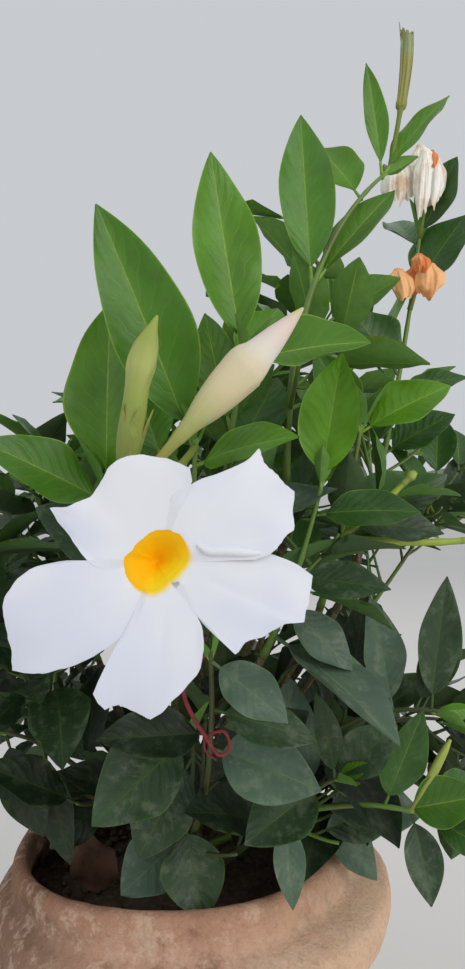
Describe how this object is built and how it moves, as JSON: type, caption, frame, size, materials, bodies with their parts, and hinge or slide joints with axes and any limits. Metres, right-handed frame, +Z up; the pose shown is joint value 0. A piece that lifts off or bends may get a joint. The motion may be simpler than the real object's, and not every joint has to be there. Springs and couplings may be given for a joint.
{
  "type": "potted mandevilla",
  "caption": "Bushy mandevilla with an open white bloom, two pale buds and long tapering green leaves, growing in a round-shouldered earthenware pot.",
  "frame": {"origin": "centre of the pot's flat underside", "axes": "+Z up along the plant, the open bloom faces -Y and +X is the right of someone who looks at the bloom"},
  "size_m": [0.3379, 0.3627, 0.571],
  "materials": {
    "earthenware": "rough, mottled and weathered",
    "soil": "damp and crumbly",
    "bark": "rough greyish brown bark, greener on the young boughs",
    "foliage": "smooth leaves with a soft sheen"
  },
  "bodies": {
    "root": {"pot": "earthenware", "soil": "soil", "trunk": "bark", "bough_top": "bark", "bough_bloom": "bark", "bough_left": "bark", "bough_middle": "bark", "bough_right_front": "bark", "bough_right": "bark", "bough_far_right": "bark", "bough_left_side": "bark", "bough_left_back": "bark", "bough_back_left": "bark", "bough_back": "bark", "bough_back_right": "bark", "bough_right_side": "bark", "bough_centre": "bark", "bough_centre_back": "bark", "mass_top": "foliage", "mass_bloom": "foliage", "mass_left": "foliage", "mass_middle": "foliage", "mass_right_front": "foliage", "mass_right": "foliage", "mass_far_right": "foliage", "mass_low_right": "foliage", "mass_right_low": "foliage", "mass_front_right": "foliage", "mass_front": "foliage", "mass_front_low": "foliage", "mass_left_low": "foliage", "mass_left_side": "foliage", "mass_left_back": "foliage", "mass_back_left": "foliage", "mass_back": "foliage", "mass_back_right": "foliage", "mass_right_side": "foliage", "mass_centre": "foliage", "mass_centre_back": "foliage", "mass_back_low_left": "foliage", "mass_back_low": "foliage", "mass_back_low_right": "foliage", "mass_right_low_back": "foliage"}
  },
  "joints": []
}
